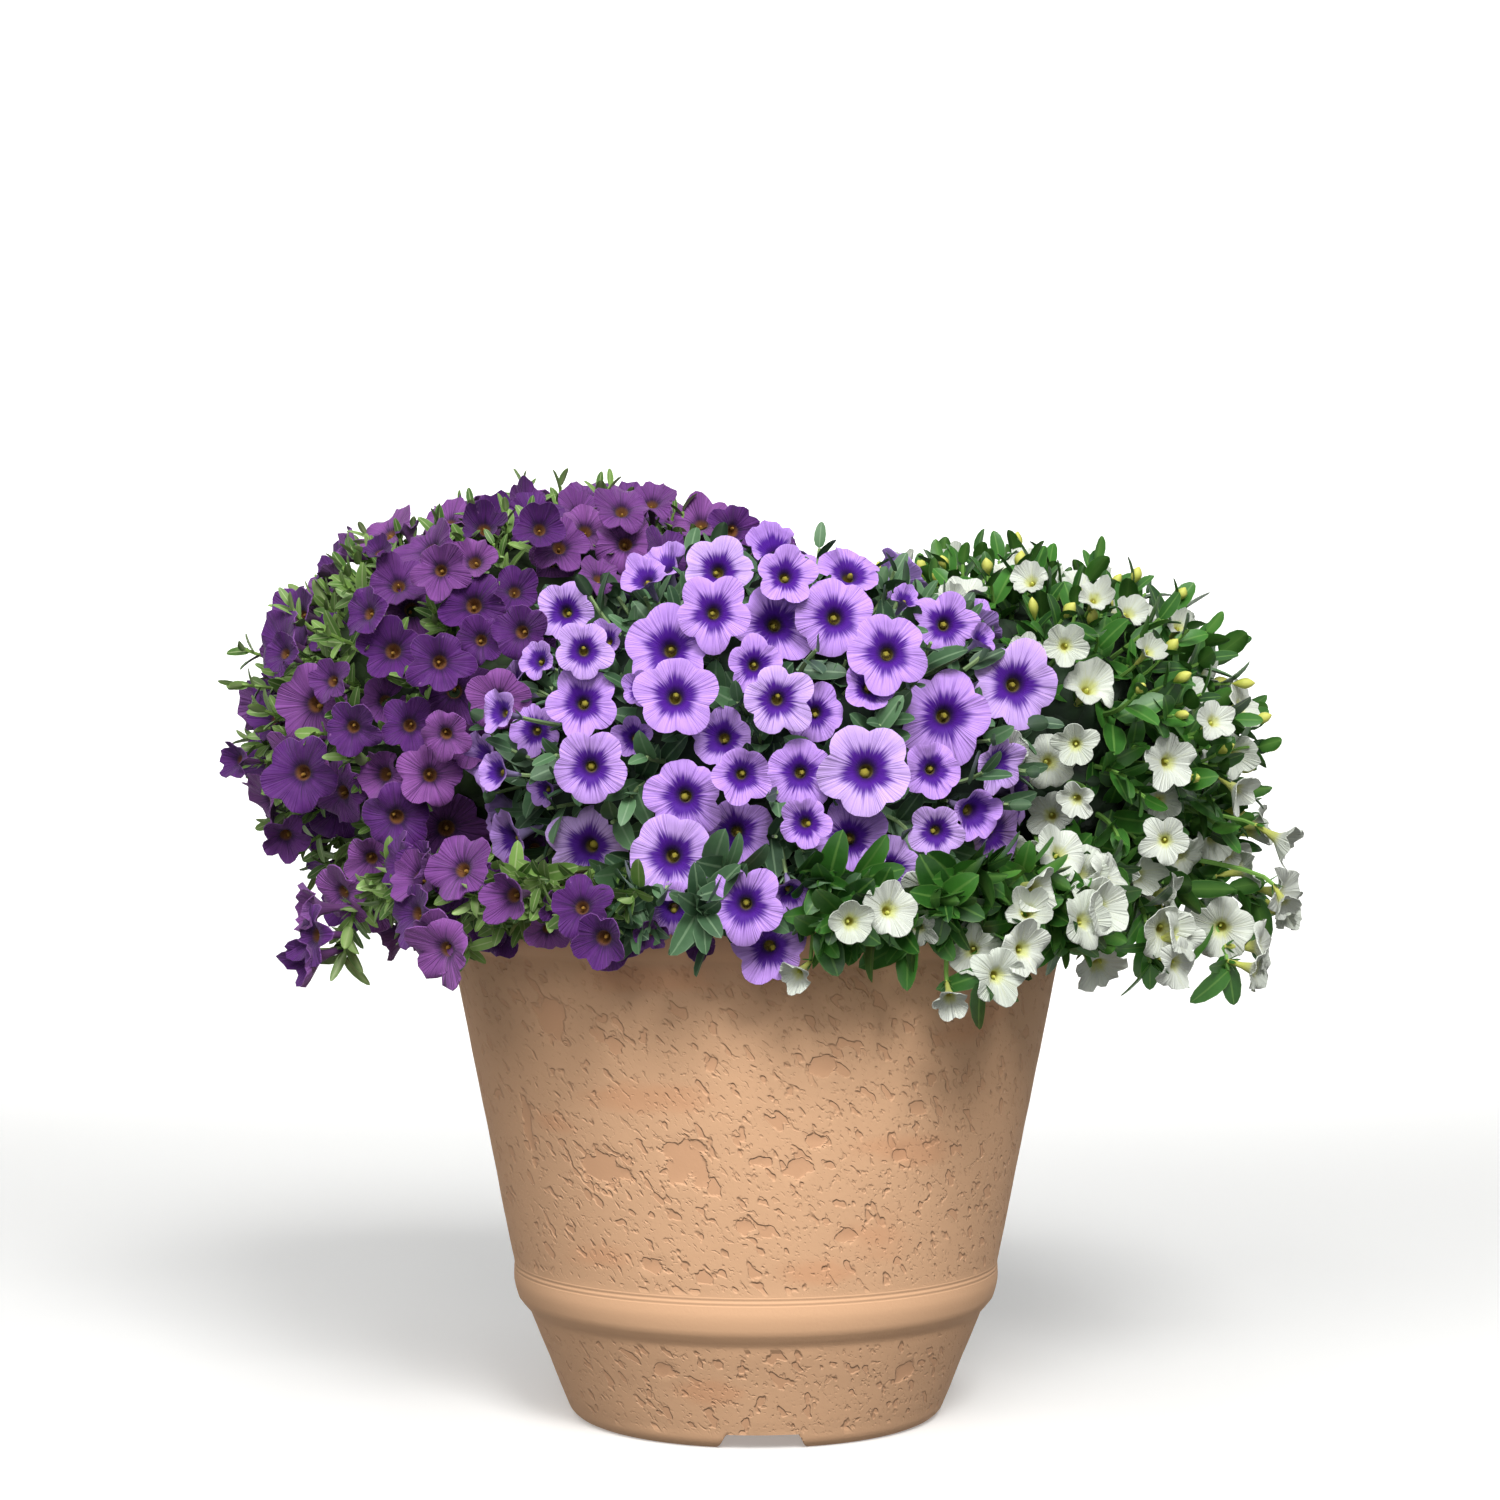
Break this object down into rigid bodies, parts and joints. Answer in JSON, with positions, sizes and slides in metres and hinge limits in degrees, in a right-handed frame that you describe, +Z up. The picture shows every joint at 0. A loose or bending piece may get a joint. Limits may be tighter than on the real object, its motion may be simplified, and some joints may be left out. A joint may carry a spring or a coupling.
{
  "type": "potted calibrachoa",
  "caption": "Round tapered terracotta-look planter with a rolled rim and a low band, filled with mounding and trailing calibrachoas in violet, lavender and white.",
  "frame": {"origin": "middle of the pot's foot ring, on the surface that the pot stands on", "axes": "+Z up along the pot's axis; -Y to the front, where the lavender plant grows; +X to the right, where the white plant grows"},
  "size_m": [0.4999, 0.3929, 0.4329],
  "materials": {
    "terracotta_resin": "matt, pitted like weathered terracotta",
    "potting_soil": "rough and crumbly",
    "violet_bloom": "velvety petal",
    "lavender_bloom": "soft petal with a dark eye",
    "white_bloom": "soft petal with a yellow throat",
    "foliage": "satin leaf"
  },
  "bodies": {
    "root": {"pot": "terracotta_resin", "soil": "potting_soil", "violet_calibrachoa": "violet_bloom", "lavender_calibrachoa": "lavender_bloom", "white_calibrachoa": "white_bloom"}
  },
  "joints": []
}
